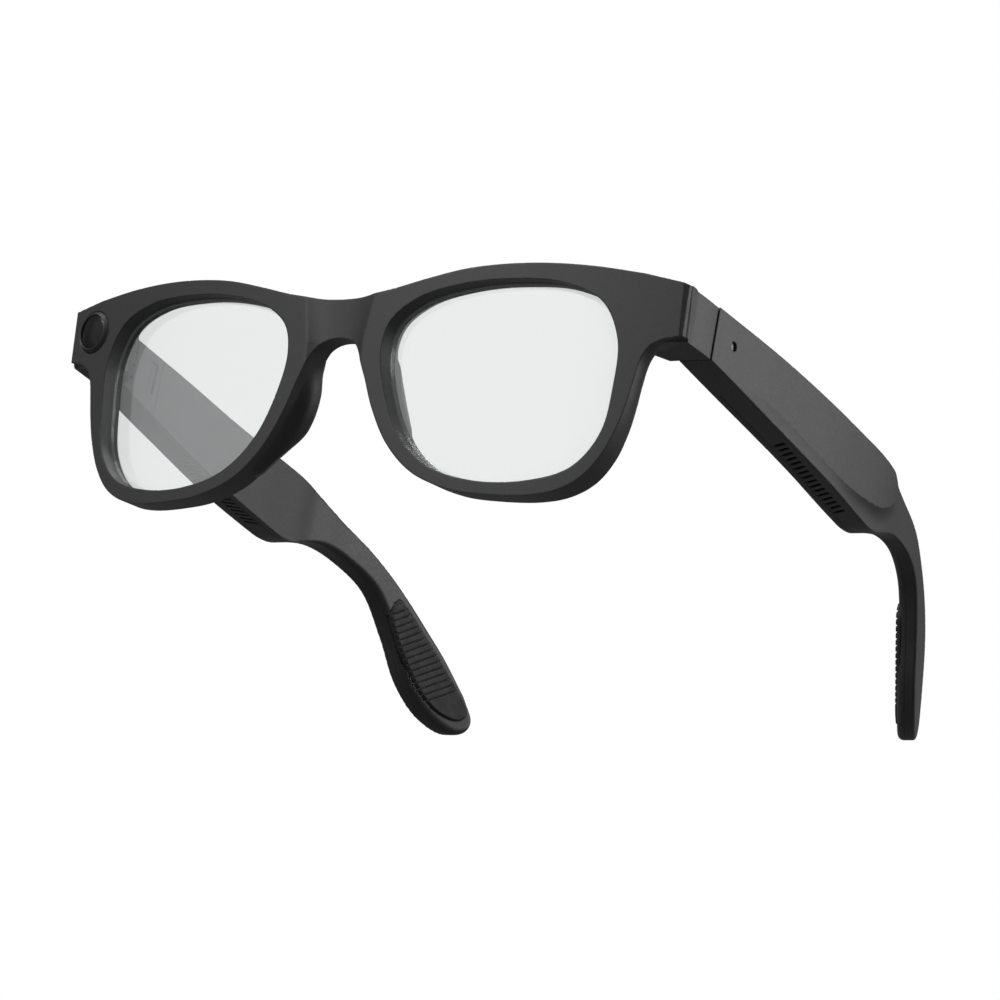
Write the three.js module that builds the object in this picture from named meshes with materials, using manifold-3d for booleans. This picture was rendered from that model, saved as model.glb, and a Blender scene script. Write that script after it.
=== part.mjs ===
// Smart glasses: a plastic front with two lenses and a camera, and two folding arms full of electronics.
// Millimetres. +X is the wearer's left, the front faces -Y, +Z is up.
// The glasses stand open on the bottoms of the rims and the tips of the arms, at Z = 0.
import * as THREE from 'three';
import { mergeVertices } from 'three/addons/utils/BufferGeometryUtils.js';
import Module from 'manifold-3d';

const wasm = await Module();
wasm.setup();

// ---- Driving dimensions -------------------------------------------------------------------------
const TILT = THREE.MathUtils.degToRad(7.53);   // lean of the front against the arms
const FRONT_LIFT = -2.191;                     // puts the bottoms of the rims at Z = 0
const MIDDLE = 76.05;                          // from the front's datum back to the middle of the glasses
const WRAP = 0.001875;                         // the front curves back by WRAP * x * x
const RIM_DEPTH = 6.2;
const GAP = 0.3;                               // between fixed pieces that touch
const LENS_THICKNESS = 1.8;
const LENS_SETBACK = 2.5;                      // rim face to lens face
const GROOVE_DEPTH = 0.9;

const SPLIT_Y = 16.6;                          // where the end piece meets the arm
const ARM_START = 16.9;
const ARM_END = 158;
const COVER_START = 30.7;                      // seam on the inner side of the arm
const WALL = 1.4;

const HINGE = { x: 68.2, y: 16.75, radius: 2.1, bore: 0.95, relief: 2.45 };
const KNUCKLES = { bottom: 35.0, low: 37.4, high: 40.6, top: 43.0 };
const PIN_RADIUS = 0.8;
const LEAF = { inner: 69.3, outer: 70.3, frontEnd: 11.0, neckEnd: 20, backEnd: 28.6, inset: 0.8 };

const CAMERA = { x: -67.5, z: 40.7, windowRadius: 3.65, bezelRadius: 4.55 };

const END_BLOCK = { bottom: 33.3, top: 44.4 };    // the part of the front that carries the arm
const SADDLE = { depth: 1.4, halfWidth: 9.2 };   // hollow in the face of the bridge

const SLOTS = { count: 16, first: 51.0, pitch: 1.95, length: 3.4, width: 0.85, x: 74.2, slant: 0.4 };
const PORT = { y: 23.7, z: 39.0, radius: 1.0 };
const BUTTON = { x: 73.4, y: 39.0, length: 9.0, width: 2.8, proud: 0.45, flange: 0.6 };
const GRIP_PROUD = 0.6;                        // rubber above the arm, and the same below its surface

// Electronics in each arm: x of the middle, thickness across the arm, stretch along it, height, corner.
const CAVITY = { front: 31, back: 90, bottomBack: 87 };
const SPEAKER = { x: 74.6, thickness: 3.4, span: [51, 67], height: 5.4, corner: 0.8 };
const BATTERY = { x: 74.75, thickness: 3.0, span: [68, 88], height: 9.4, corner: 1.2 };
const BOARD = { x: 74.5, thickness: 0.8, span: [33, 50], height: 6.0, corner: 0.5 };
const SHIELD = { x: 73.2, thickness: 1.0, height: 4.6, corner: 0.4, lengths: { right: 12, left: 8 } };
const FLEX = { x: 75.9, thickness: 0.3, span: [51, 67], height: 2.6, corner: 0.4 };
const GRILLE = { inner: 72.8, outer: 75.8, thickness: 0.35, clearance: 0.4 };
const TOUCH = { thickness: 0.3, outline: [[69, 31.4], [88, 29.8], [88, 36.6], [69, 38]] };
const WIRE_DUCT = { x: [71.2, 74.0], y: [21.6, 32], z: [36.2, 41.8] };
const MICROPHONE = { x: [71.6, 73.0], reach: 1.5 };
const SWITCH = { reachX: 1.2, reachY: 1.8, height: 1.2, travelGap: 0.5 };

// ---- Outlines -----------------------------------------------------------------------------------
// Front, seen from in front: x outwards from the middle, z up. Each list is one side's half.
const OPENING = [
  [11.3, 32], [12.7, 24.3], [17, 14.7], [24.3, 7.9], [34.5, 4.8], [46, 4.9], [55, 7.8], [60.2, 14.6],
  [61.9, 24.5], [61.8, 34], [58, 41.5], [50, 45.2], [39.5, 46], [28.5, 45.1], [18.5, 42.3], [12.8, 37.8],
];
const LOWER_EDGE = [
  [0, 34.9], [4.3, 33.5], [7.7, 27.1], [10.7, 19.6], [15.1, 12.1], [21.5, 6.2], [30, 2.9], [38.5, 1.9],
  [47, 1.95], [52.5, 3.1], [57.2, 5.8], [60.9, 10.4], [63.5, 16.2], [65, 21.5], [65.9, 26], [66.8, 30],
  [68.3, 32.7], [70.8, 34.2],
];
const END_CORNERS = [[74.3, 34.9], [74.6, 45.6]];
const BROW = [
  [66, 47.4], [56, 48.7], [46, 49.3], [37, 49.1], [28.5, 48.2], [20, 46.3], [12, 44.3], [5, 43.2], [0, 43],
];
const NOSE_PAD = [
  [6.6, 34.2], [7.7, 29.8], [7.6, 25], [8.7, 19.9], [11.4, 14.9], [14.8, 10.9], [18.3, 8.2],
  [19.4, 9.2], [17, 13], [14.7, 18.6], [12.2, 26], [10.4, 31.6], [8.4, 34.8],
];

// Arm, seen from the side: y back, z up.
const ARM_TOP = [
  [ARM_START, 44.6], [45, 43.8], [73, 42.2], [94, 40.8], [106, 38.1], [120, 34.2], [134, 27.1], [146, 18.5],
  [154.5, 10],
];
const ARM_TIP = [[157.6, 4.8], [156.8, 1.6], [153.5, 0]];
const ARM_NECK = [
  [146, 1.8], [138.6, 7.5], [132, 16.7], [124, 25.4], [113.5, 29], [104, 29.3], [97.5, 27.6], [92.5, 25.7],
  [88, 25.2], [84, 25.45],
];
const ARM_BOTTOM = [[75, 26.3], [60, 27.9], [45, 29.7], [30, 31.55], [ARM_START, 33.35]];
const GRIP = [
  [131.1, 25.7], [129.4, 21.6], [132.6, 16.3], [137.2, 10.9], [142.9, 5.8], [148.1, 3.4], [153.1, 3.5],
  [155.1, 5.8], [153.5, 8.5], [148.1, 13.4], [141.2, 19.3], [134, 24.5],
];

// Arm, seen from above: x of each face along y.
const OUTER_FACE = [[10, 74.8], [45, 77.4], [75, 78.5], [97, 77.6], [120, 72.9], [140, 67.2], [160, 59.4]];
const INNER_FACE = [
  [10, 67.62], [45, 70], [62, 70.8], [78, 70.7], [95, 70.5], [112, 69.5], [120, 68], [140, 62.6], [160, 54.8],
];
const SHELL_SPLIT = [
  [10, 69.1], [45, 71.6], [62, 72.4], [78, 72.3], [95, 72.1], [112, 71.6], [120, 70.1], [140, 64.7],
  [160, 56.9],
];

// ---- Materials ----------------------------------------------------------------------------------
function finish(color, roughness, metalness) {
  return new THREE.MeshStandardMaterial({ color, roughness, metalness });
}
const blackPlastic = () => finish(0x2a2a2c, 0.55, 0);
const clearLens = () => finish(0xe6ecee, 0.05, 0);
const steel = () => finish(0x8c8f93, 0.35, 1);
const blackRubber = () => finish(0x1b1b1c, 0.8, 0);
const board = () => finish(0x1f4a33, 0.6, 0);
const cell = () => finish(0xa9adb2, 0.45, 0.6);
const darkGlass = () => finish(0x0b0c10, 0.08, 0);
const copper = () => finish(0xb0763a, 0.5, 0.4);

// ---- Curves and simple solids -------------------------------------------------------------------
function smooth(points, steps, closed = false) {
  const corners = points.map(([a, b]) => new THREE.Vector3(a, b, 0));
  const curve = new THREE.CatmullRomCurve3(corners, closed, 'centripetal');
  const samples = curve.getSpacedPoints(steps).map((p) => [p.x, p.y]);
  if (closed) samples.pop();
  return samples;
}

// A face of the arm as a function: its x at any y.
function faceAt(points, shift = 0) {
  const samples = smooth(points, 80).map(([y, x]) => [y, x + shift]);
  return (y) => {
    const next = samples.findIndex((sample) => sample[0] > y);
    const [y0, x0] = samples[next - 1];
    const [y1, x1] = samples[next];
    return x0 + ((x1 - x0) * (y - y0)) / (y1 - y0);
  };
}

// Moves each point of a closed outline along its normal, outwards when distance is positive.
function offset(outline, distance) {
  const turn = THREE.ShapeUtils.isClockWise(outline.map(([a, b]) => new THREE.Vector2(a, b))) ? -1 : 1;
  return outline.map(([a, b], i) => {
    const [pa, pb] = outline[(i + outline.length - 1) % outline.length];
    const [na, nb] = outline[(i + 1) % outline.length];
    const length = Math.hypot(na - pa, nb - pb);
    return [a + (turn * distance * (nb - pb)) / length, b - (turn * distance * (na - pa)) / length];
  });
}

function extrude(outline, depth) {
  const shape = new THREE.Shape(outline.map(([a, b]) => new THREE.Vector2(a, b)));
  return new THREE.ExtrudeGeometry(shape, { depth, bevelEnabled: false });
}

// Prisms of an outline: along X the outline is (y, z), along Y it is (x, z), along Z it is (x, y).
function prismX(outline, from, to) {
  const axes = new THREE.Matrix4().set(0, 0, 1, from, 1, 0, 0, 0, 0, 1, 0, 0, 0, 0, 0, 1);
  return extrude(outline, to - from).applyMatrix4(axes);
}
function prismY(outline, from, to) {
  return extrude(outline, to - from).rotateX(Math.PI / 2).translate(0, to, 0);
}
function prismZ(outline, from, to) {
  return extrude(outline, to - from).translate(0, 0, from);
}
function box([x0, x1], [y0, y1], [z0, z1]) {
  const block = new THREE.BoxGeometry(x1 - x0, y1 - y0, z1 - z0);
  return block.translate((x0 + x1) / 2, (y0 + y1) / 2, (z0 + z1) / 2);
}
function uprightCylinder(radius, x, y, from, to, sides = 20) {
  const cylinder = new THREE.CylinderGeometry(radius, radius, to - from, sides).rotateX(Math.PI / 2);
  return cylinder.translate(x, y, (from + to) / 2);
}
function roundedRectangle(width, height, radius, steps = 3) {
  const corners = [[1, 1, 0], [-1, 1, 1], [-1, -1, 2], [1, -1, 3]];
  return corners.flatMap(([a, b, quarter]) => Array.from({ length: steps + 1 }, (_, i) => {
    const angle = ((quarter + i / steps) * Math.PI) / 2;
    const [x, y] = [a * (width / 2 - radius), b * (height / 2 - radius)];
    return [x + radius * Math.cos(angle), y + radius * Math.sin(angle)];
  }));
}

// ---- Joining and cutting ------------------------------------------------------------------------
function solid(geometry) {
  const bare = geometry.clone();
  bare.deleteAttribute('normal');
  bare.deleteAttribute('uv');
  const merged = mergeVertices(bare, 1e-4);
  return new wasm.Manifold(new wasm.Mesh({
    numProp: 3,
    vertProperties: new Float32Array(merged.attributes.position.array),
    triVerts: new Uint32Array(merged.index.array),
  }));
}
function geometryOf(manifold) {
  const { vertProperties, triVerts } = manifold.getMesh();
  const geometry = new THREE.BufferGeometry();
  geometry.setAttribute('position', new THREE.BufferAttribute(new Float32Array(vertProperties), 3));
  geometry.setIndex(new THREE.BufferAttribute(new Uint32Array(triVerts), 1));
  return geometry;
}
function cut(body, ...tools) {
  return tools.reduce((rest, tool) => rest.subtract(solid(tool)), body);
}
// The same body on the other side of the middle plane, its triangles turned to face outwards again.
function mirrored(geometry) {
  const flipped = geometry.clone().applyMatrix4(new THREE.Matrix4().makeScale(-1, 1, 1));
  flipped.deleteAttribute('normal').deleteAttribute('uv');
  const indexed = flipped.index ? flipped : mergeVertices(flipped, 1e-4);
  const index = indexed.index.array;
  for (let i = 0; i < index.length; i += 3) [index[i], index[i + 1]] = [index[i + 1], index[i]];
  return indexed;
}

const glasses = new THREE.Group();
const assembly = new THREE.Group();
assembly.position.y = -MIDDLE;
glasses.add(assembly);
const front = new THREE.Group();
front.rotation.x = TILT;
front.position.z = FRONT_LIFT;
front.updateMatrix();
assembly.add(front);

function place(parent, name, geometry, material) {
  const mesh = new THREE.Mesh(geometry, material);
  mesh.name = name;
  parent.add(mesh);
  return mesh;
}
// Adds a piece made for the wearer's left side to either side.
function placeOnSide(parent, name, side, geometry, material) {
  return place(parent, `${name}_${side}`, side === 'left' ? geometry : mirrored(geometry), material);
}
// Turns a cutter given in the upright frame into the leaning frame of the front.
function leaning(geometry) {
  return geometry.clone().applyMatrix4(front.matrix.clone().invert());
}

// ---- Front --------------------------------------------------------------------------------------
// A plate that follows the wrap of the front, from one depth behind its face to another.
function wrappedPlate(fromDepth, toDepth, halfWidth = 76, steps = 38) {
  const xs = Array.from({ length: steps + 1 }, (_, i) => halfWidth * ((2 * i) / steps - 1));
  const face = xs.map((x) => [x, WRAP * x * x + fromDepth]);
  const back = xs.map((x) => [x, WRAP * x * x + toDepth]).reverse();
  return prismZ([...face, ...back], -10, 60);
}

function frontOutline() {
  const half = [...smooth(LOWER_EDGE, 44), ...END_CORNERS, ...smooth(BROW, 22)];
  const other = half.slice(1, -1).reverse().map(([x, z]) => [-x, z]);
  return [...half, ...other];
}

const openingCurve = smooth(OPENING, 56, true);

function hingePocket(side) {
  const sign = side === 'left' ? 1 : -1;
  const slotX = [LEAF.inner - GAP, LEAF.outer + GAP].map((x) => sign * x).sort((a, b) => a - b);
  const slotZ = [KNUCKLES.bottom - GAP, KNUCKLES.top + GAP];
  return [
    leaning(uprightCylinder(HINGE.relief, sign * HINGE.x, HINGE.y, ...slotZ)),
    leaning(box(slotX, [LEAF.frontEnd - GAP, SPLIT_Y + 1], slotZ)),
  ];
}

// The block that joins each rim to its arm, from the face of the front back to the split.
function endPiece(sign) {
  const inner = [[62.9, 2], [62.9, 11.2], [66.1, SPLIT_Y]];
  const outer = [[75.1, SPLIT_Y], [74.9, 10], [74.55, 5.8], [74.55, 2]];
  const plan = [...inner, ...outer];
  const block = leaning(prismZ(plan.map(([x, y]) => [sign * x, y]), END_BLOCK.bottom, END_BLOCK.top));
  return solid(block).intersect(solid(wrappedPlate(0, 20)));
}

// Space in front of the bridge's face, deepest in the middle and running out towards the rims.
function saddle(steps = 16) {
  const hollow = Array.from({ length: steps + 1 }, (_, i) => {
    const across = (2 * i) / steps - 1;
    return [SADDLE.halfWidth * across, SADDLE.depth * (0.5 + 0.5 * Math.cos(Math.PI * across))];
  });
  return prismZ([[-SADDLE.halfWidth, -3], ...hollow, [SADDLE.halfWidth, -3]], 20, 60);
}

const wrapSlope = Math.atan(2 * WRAP * -CAMERA.x);
const cameraGroup = new THREE.Group();
cameraGroup.position.set(CAMERA.x, WRAP * CAMERA.x * CAMERA.x, CAMERA.z);
cameraGroup.rotation.z = -wrapSlope;
cameraGroup.updateMatrix();
front.add(cameraGroup);

function turned(profile, sides = 32) {
  return new THREE.LatheGeometry(profile.map(([r, y]) => new THREE.Vector2(r, y)), sides);
}

function cameraPocket() {
  const wellRadius = CAMERA.bezelRadius + GAP;
  const well = turned([[0, -6], [wellRadius, -6], [wellRadius, 2.3], [0, 2.3]]);
  const chamber = new THREE.BoxGeometry(6.9, 5.6, 7.0).translate(0, 4.8, 0);
  const duct = new THREE.BoxGeometry(3.6, 8, 1.2).translate(-1.2, 9, 2.6);
  return [well, chamber, duct].map((tool) => tool.applyMatrix4(cameraGroup.matrix));
}

function frontFrame() {
  let frame = solid(wrappedPlate(0, RIM_DEPTH)).intersect(solid(prismY(frontOutline(), -20, 40)));
  for (const sign of [1, -1]) {
    const pad = solid(prismY(smooth(NOSE_PAD, 26, true).map(([x, z]) => [sign * x, z]), 3, 12));
    frame = frame.add(endPiece(sign)).add(pad);
  }
  for (const sign of [1, -1]) {
    const hole = openingCurve.map(([x, z]) => [sign * x, z]);
    const grooveWall = offset(hole, GROOVE_DEPTH);
    const groovePlate = wrappedPlate(LENS_SETBACK - 0.2, LENS_SETBACK + LENS_THICKNESS + 0.2);
    const groove = solid(groovePlate).intersect(solid(prismY(grooveWall, -20, 40)));
    frame = cut(frame, prismY(hole, -20, 40)).subtract(groove);
  }
  const pockets = [...hingePocket('left'), ...hingePocket('right'), ...cameraPocket()];
  return geometryOf(cut(frame, saddle(), ...pockets));
}
place(front, 'front_frame', frontFrame(), blackPlastic());

function lens(sign) {
  const edge = offset(openingCurve, GROOVE_DEPTH - 0.25).map(([x, z]) => [sign * x, z]);
  const plate = wrappedPlate(LENS_SETBACK, LENS_SETBACK + LENS_THICKNESS);
  return geometryOf(solid(plate).intersect(solid(prismY(edge, -20, 40))));
}
place(front, 'lens_left', lens(1), clearLens());
place(front, 'lens_right', lens(-1), clearLens());

// ---- Camera in the wearer's right end piece -----------------------------------------------------
const bezelProfile = [
  [3.8, -0.75], [4.2, -0.75], [CAMERA.bezelRadius, 0.1], [CAMERA.bezelRadius, 2.0], [3.0, 2.0], [3.0, 0.75],
  [3.8, 0.75], [3.8, -0.75],
];
place(cameraGroup, 'camera_bezel', turned(bezelProfile), blackPlastic());
const windowProfile = [[0, -0.35], [CAMERA.windowRadius, -0.35], [CAMERA.windowRadius, 0.45], [0, 0.45]];
place(cameraGroup, 'camera_window', turned(windowProfile), darkGlass());
const barrelProfile = [
  [0, 0.85], [1.1, 0.95], [1.3, 1.2], [2.2, 1.2], [2.2, 3.0], [2.6, 3.2], [2.6, 4.3], [0, 4.3],
];
place(cameraGroup, 'camera_lens', turned(barrelProfile, 24), darkGlass());
const moduleBox = new THREE.BoxGeometry(6.2, 1.8, 6.2).translate(0, 5.5, 0);
place(cameraGroup, 'camera_module', moduleBox, board());
const flexShape = [
  [-2.7, 6.7], [0.3, 6.7], [0.3, 7.0], [-0.7, 7.0], [-0.7, 11.6], [-1.0, 11.6], [-1.0, 7.0], [-2.7, 7.0],
];
place(cameraGroup, 'camera_flex', prismZ(flexShape, 2.2, 3.0), copper());

// ---- Hinges -------------------------------------------------------------------------------------
function knuckle(from, to) {
  return solid(uprightCylinder(HINGE.radius, HINGE.x, HINGE.y, from, to, 24));
}
const pinBore = () => uprightCylinder(HINGE.bore, HINGE.x, HINGE.y, 30, 46);

function frontLeaf() {
  const { bottom, top } = KNUCKLES;
  const plate = solid(box([LEAF.inner, LEAF.outer], [LEAF.frontEnd, HINGE.y], [bottom, top]));
  const knuckles = knuckle(KNUCKLES.bottom, KNUCKLES.low).add(knuckle(KNUCKLES.high, KNUCKLES.top));
  const window = uprightCylinder(HINGE.relief, HINGE.x, HINGE.y, KNUCKLES.low, KNUCKLES.high);
  return geometryOf(cut(plate, window).add(knuckles).subtract(solid(pinBore())));
}
function armLeaf() {
  const low = KNUCKLES.low + GAP;
  const high = KNUCKLES.high - GAP;
  const neck = solid(box([LEAF.inner, LEAF.outer], [HINGE.y, LEAF.neckEnd + 0.5], [low, high]));
  const plateZ = [KNUCKLES.bottom + LEAF.inset, KNUCKLES.top - LEAF.inset];
  const plate = solid(box([LEAF.inner, LEAF.outer], [LEAF.neckEnd, LEAF.backEnd], plateZ));
  return geometryOf(neck.add(plate).add(knuckle(low, high)).subtract(solid(pinBore())));
}
function hingePin() {
  const { bottom, top } = KNUCKLES;
  const shank = uprightCylinder(PIN_RADIUS, HINGE.x, HINGE.y, bottom - 0.1, top + 0.2, 16);
  const head = uprightCylinder(1.5, HINGE.x, HINGE.y, top + 0.03, top + 0.22, 16);
  return geometryOf(solid(shank).add(solid(head)));
}

// ---- Arms ---------------------------------------------------------------------------------------
const outerFace = faceAt(OUTER_FACE);
const innerFace = faceAt(INNER_FACE);
const splitFace = faceAt(SHELL_SPLIT);
const shiftedFace = (face, shift) => (y) => face(y) + shift;
const flat = (x) => () => x;
const armBottom = faceAt([...ARM_BOTTOM].reverse().concat([[84, 25.45], [92, 25.3]]));
const topFace = faceAt(ARM_TOP);
const bottomSlope = Math.atan2(ARM_BOTTOM[0][1] - ARM_BOTTOM[3][1], ARM_BOTTOM[0][0] - ARM_BOTTOM[3][0]);

// A slice of space between two faces of the arm, for a stretch of its length.
function between(inner, outer, from, to, steps = 26) {
  const ys = Array.from({ length: steps + 1 }, (_, i) => from + ((to - from) * i) / steps);
  const outline = [...ys.map((y) => [inner(y), y]), ...ys.reverse().map((y) => [outer(y), y])];
  return prismZ(outline, -5, 55);
}

function armProfile() {
  return [
    ...smooth(ARM_TOP, 30),
    ...smooth([ARM_TOP.at(-1), ...ARM_TIP], 8).slice(1),
    ...smooth([ARM_TIP.at(-1), ...ARM_NECK, ...ARM_BOTTOM], 44).slice(1),
  ];
}
const armWidth = between(innerFace, outerFace, ARM_START, ARM_END);
const arm = solid(prismX(armProfile(), 50, 85)).intersect(solid(armWidth));

// The sealed space for the electronics, seen from the side.
function cavityOutline() {
  const { front: start, back, bottomBack } = CAVITY;
  const bottom = [start, 45, 60, 75, bottomBack].map((y) => [y, armBottom(y) + WALL]);
  const top = [back, 75, 60, 45, start].map((y) => [y, topFace(y) - WALL]);
  return [...bottom, [back, armBottom(bottomBack) + WALL + 1.8], ...top];
}

function speakerSlots() {
  return Array.from({ length: SLOTS.count }, (_, i) => {
    const y = SLOTS.first + i * SLOTS.pitch;
    const slot = new THREE.BoxGeometry(SLOTS.length, SLOTS.width, 5).rotateZ(-SLOTS.slant);
    return slot.translate(SLOTS.x, y, armBottom(y) + 0.6);
  });
}

function armShell(side) {
  const coverSpace = between(flat(40), shiftedFace(splitFace, GAP / 2), COVER_START - GAP / 2, ARM_END + 1);
  const insideWall = between(flat(50), shiftedFace(outerFace, -WALL), CAVITY.front - 1, CAVITY.back + 2);
  const cavity = solid(prismX(cavityOutline(), 50, 90)).intersect(solid(insideWall));
  const slotZ = [KNUCKLES.bottom + 0.5, KNUCKLES.top - 0.5];
  const leafSlot = box([LEAF.inner - GAP, LEAF.outer + GAP], [10, LEAF.backEnd + GAP], slotZ);
  const duct = box(WIRE_DUCT.x, WIRE_DUCT.y, WIRE_DUCT.z);
  const relief = uprightCylinder(HINGE.relief, HINGE.x, HINGE.y, KNUCKLES.bottom - GAP, KNUCKLES.top + GAP);
  let shell = cut(arm, coverSpace).subtract(cavity);
  shell = cut(shell, leafSlot, duct, relief, ...speakerSlots());
  if (side === 'left') {
    const port = new THREE.CylinderGeometry(PORT.radius, PORT.radius, 8, 16).rotateZ(Math.PI / 2);
    shell = cut(shell, port.translate(77, PORT.y, PORT.z));
  } else {
    const hole = roundedRectangle(BUTTON.width + GAP, BUTTON.length + GAP, BUTTON.width / 2);
    shell = cut(shell, prismZ(hole.map(([x, y]) => [BUTTON.x + x, BUTTON.y + y]), 40, 50));
  }
  return geometryOf(shell);
}

function gripRecess() {
  const space = between(flat(40), shiftedFace(innerFace, GRIP_PROUD + GAP), 125, ARM_END + 1, 10);
  return solid(prismX(offset(smooth(GRIP, 30, true), GAP), 40, 80)).intersect(solid(space));
}
function armCover() {
  const space = between(flat(40), shiftedFace(splitFace, -GAP / 2), COVER_START + GAP / 2, ARM_END + 1);
  return geometryOf(arm.intersect(solid(space)).subtract(gripRecess()));
}
function tipGrip() {
  const [back, face] = [shiftedFace(innerFace, GRIP_PROUD), shiftedFace(innerFace, -GRIP_PROUD)];
  const band = between(face, back, 125, ARM_END + 1, 10);
  return geometryOf(solid(prismX(smooth(GRIP, 30, true), 40, 80)).intersect(solid(band)));
}

// A rounded block lying along the arm, thin across it.
function armBlock({ x, thickness, span: [y0, y1], height, corner }, centreZ, slope = bottomSlope) {
  const block = prismX(roundedRectangle(y1 - y0, height, corner), -thickness / 2, thickness / 2);
  return block.rotateX(slope).translate(x, (y0 + y1) / 2, centreZ);
}
const middleOf = ([from, to]) => (from + to) / 2;

function speaker() {
  return armBlock(SPEAKER, armBottom(middleOf(SPEAKER.span)) + WALL + 3.9);
}
function battery() {
  const y = middleOf(BATTERY.span);
  return armBlock(BATTERY, (armBottom(y) + topFace(y)) / 2 + 0.3, bottomSlope / 2);
}
// A thin strip inside the bottom wall, behind all the slots.
function speakerGrille() {
  const [from, to] = [SLOTS.first - 1.2, SLOTS.first + SLOTS.count * SLOTS.pitch - 0.8];
  const ys = [0, 1, 2, 3, 4, 5, 6].map((i) => from + ((to - from) * i) / 6);
  const bottom = ys.map((y) => [y, armBottom(y) + WALL + GRILLE.clearance]);
  const top = bottom.map(([y, z]) => [y, z + GRILLE.thickness]).reverse();
  return prismX([...bottom, ...top], GRILLE.inner, GRILLE.outer);
}
function mainBoard() {
  return armBlock(BOARD, 36.4, bottomSlope / 2);
}
function chipShield(side) {
  const [y, half] = [middleOf(BOARD.span), SHIELD.lengths[side] / 2];
  return armBlock({ ...SHIELD, span: [y - half, y + half] }, 36.2, bottomSlope / 2);
}
function powerFlex() {
  return armBlock(FLEX, 39.2, bottomSlope / 2);
}
function touchStrip() {
  const face = shiftedFace(outerFace, -WALL - GAP / 2);
  const band = between(shiftedFace(face, -TOUCH.thickness), face, 68, 89, 8);
  return geometryOf(solid(prismX(TOUCH.outline, 60, 90)).intersect(solid(band)));
}

for (const side of ['right', 'left']) {
  placeOnSide(assembly, 'hinge_front_leaf', side, frontLeaf(), steel());
  placeOnSide(assembly, 'hinge_arm_leaf', side, armLeaf(), steel());
  placeOnSide(assembly, 'hinge_pin', side, hingePin(), steel());
  placeOnSide(assembly, 'arm_shell', side, armShell(side), blackPlastic());
  placeOnSide(assembly, 'arm_cover', side, armCover(), blackPlastic());
  placeOnSide(assembly, 'tip_grip', side, tipGrip(), blackRubber());
  placeOnSide(assembly, 'speaker', side, speaker(), blackPlastic());
  placeOnSide(assembly, 'speaker_grille', side, speakerGrille(), steel());
  placeOnSide(assembly, 'battery', side, battery(), cell());
  placeOnSide(assembly, 'circuit_board', side, mainBoard(), board());
  placeOnSide(assembly, 'chip_shield', side, chipShield(side), steel());
  placeOnSide(assembly, 'power_flex', side, powerFlex(), copper());
  placeOnSide(assembly, 'touch_strip', side, touchStrip(), copper());
}

// ---- Left arm: microphone behind its port --------------------------------------------------------
const [micY, micZ] = [PORT.y, PORT.z].map((at) => [at - MICROPHONE.reach, at + MICROPHONE.reach]);
place(assembly, 'microphone_left', box(MICROPHONE.x, micY, micZ), steel());
const meshRadius = PORT.radius - 0.15;
const portMesh = new THREE.CylinderGeometry(meshRadius, meshRadius, 0.5, 16).rotateZ(Math.PI / 2);
portMesh.translate(outerFace(PORT.y) - 0.75, PORT.y, PORT.z);
place(assembly, 'microphone_mesh_left', portMesh, steel());

// ---- Right arm: capture button and its switch ------------------------------------------------------
function pill(width, length, from, to) {
  const outline = roundedRectangle(width, length, width / 2 - 0.05, 5);
  return solid(prismZ(outline.map(([x, y]) => [-BUTTON.x + x, BUTTON.y + y]), from, to));
}
const buttonTop = topFace(BUTTON.y) + BUTTON.proud;
const wallUnderside = topFace(BUTTON.y) - WALL;
const flangeTop = wallUnderside - GAP;
const cap = pill(BUTTON.width, BUTTON.length, flangeTop - 0.1, buttonTop)
  .add(pill(BUTTON.width + 0.5, BUTTON.length + 1.2, flangeTop - BUTTON.flange, flangeTop));
place(assembly, 'capture_button', geometryOf(cap), blackPlastic());
const switchTop = flangeTop - BUTTON.flange - SWITCH.travelGap;
const switchX = [-BUTTON.x - SWITCH.reachX, -BUTTON.x + SWITCH.reachX];
const switchY = [BUTTON.y - SWITCH.reachY, BUTTON.y + SWITCH.reachY];
place(assembly, 'button_switch', box(switchX, switchY, [switchTop - SWITCH.height, switchTop]), steel());

export default glasses;
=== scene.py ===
"""Looks of a pair of smart glasses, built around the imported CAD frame.

Shapes are worked out in millimetres, in the glasses' own frame: +X is the wearer's left, the front
faces -Y and +Z is up. Each plastic or rubber piece is a field, a function of place that is negative
inside the piece, and sculpt() turns a field into a mesh with smooth faces and crisp edges.
"""
import math
import bpy
import numpy as np
from mathutils import Matrix, Vector


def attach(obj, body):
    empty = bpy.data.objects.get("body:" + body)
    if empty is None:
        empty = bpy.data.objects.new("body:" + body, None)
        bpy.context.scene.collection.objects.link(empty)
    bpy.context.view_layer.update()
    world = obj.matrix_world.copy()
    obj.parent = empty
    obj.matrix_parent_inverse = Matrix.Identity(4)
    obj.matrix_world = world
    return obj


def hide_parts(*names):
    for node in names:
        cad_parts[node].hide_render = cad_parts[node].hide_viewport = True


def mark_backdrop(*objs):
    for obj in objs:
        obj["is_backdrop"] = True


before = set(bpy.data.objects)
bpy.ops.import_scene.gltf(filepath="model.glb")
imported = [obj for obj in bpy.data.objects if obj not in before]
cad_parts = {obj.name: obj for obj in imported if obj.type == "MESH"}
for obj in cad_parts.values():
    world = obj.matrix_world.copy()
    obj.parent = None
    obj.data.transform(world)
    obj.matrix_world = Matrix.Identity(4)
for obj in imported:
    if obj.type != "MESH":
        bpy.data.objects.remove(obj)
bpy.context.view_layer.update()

MM = 0.001

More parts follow.
